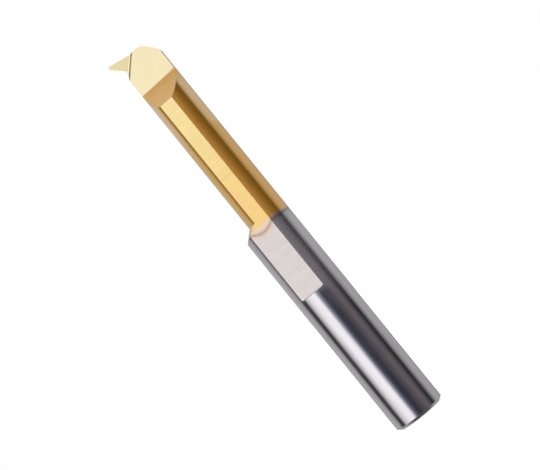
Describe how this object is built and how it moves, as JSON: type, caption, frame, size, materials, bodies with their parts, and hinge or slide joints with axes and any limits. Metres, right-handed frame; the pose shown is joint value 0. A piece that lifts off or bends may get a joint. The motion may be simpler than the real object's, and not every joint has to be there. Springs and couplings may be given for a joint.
{
  "type": "boring bar",
  "caption": "Miniature solid carbide boring bar: round shank with a clamping flat, relieved neck and a pointed profiling head with a ground chip former.",
  "frame": {"origin": "centre of the rear end face of the shank, on the shank axis", "axes": "+Z along the shank axis from the rear end face to the cutting head, -Y is the side that the rake face and the clamping flat face, -X is the side that the cutting tip points to"},
  "size_m": [0.006, 0.006, 0.0503],
  "materials": {
    "ground_carbide": "fine ground; the front half carries a thin gold titanium nitride coating"
  },
  "bodies": {
    "root": {"boring_bar": "ground_carbide"}
  },
  "joints": []
}
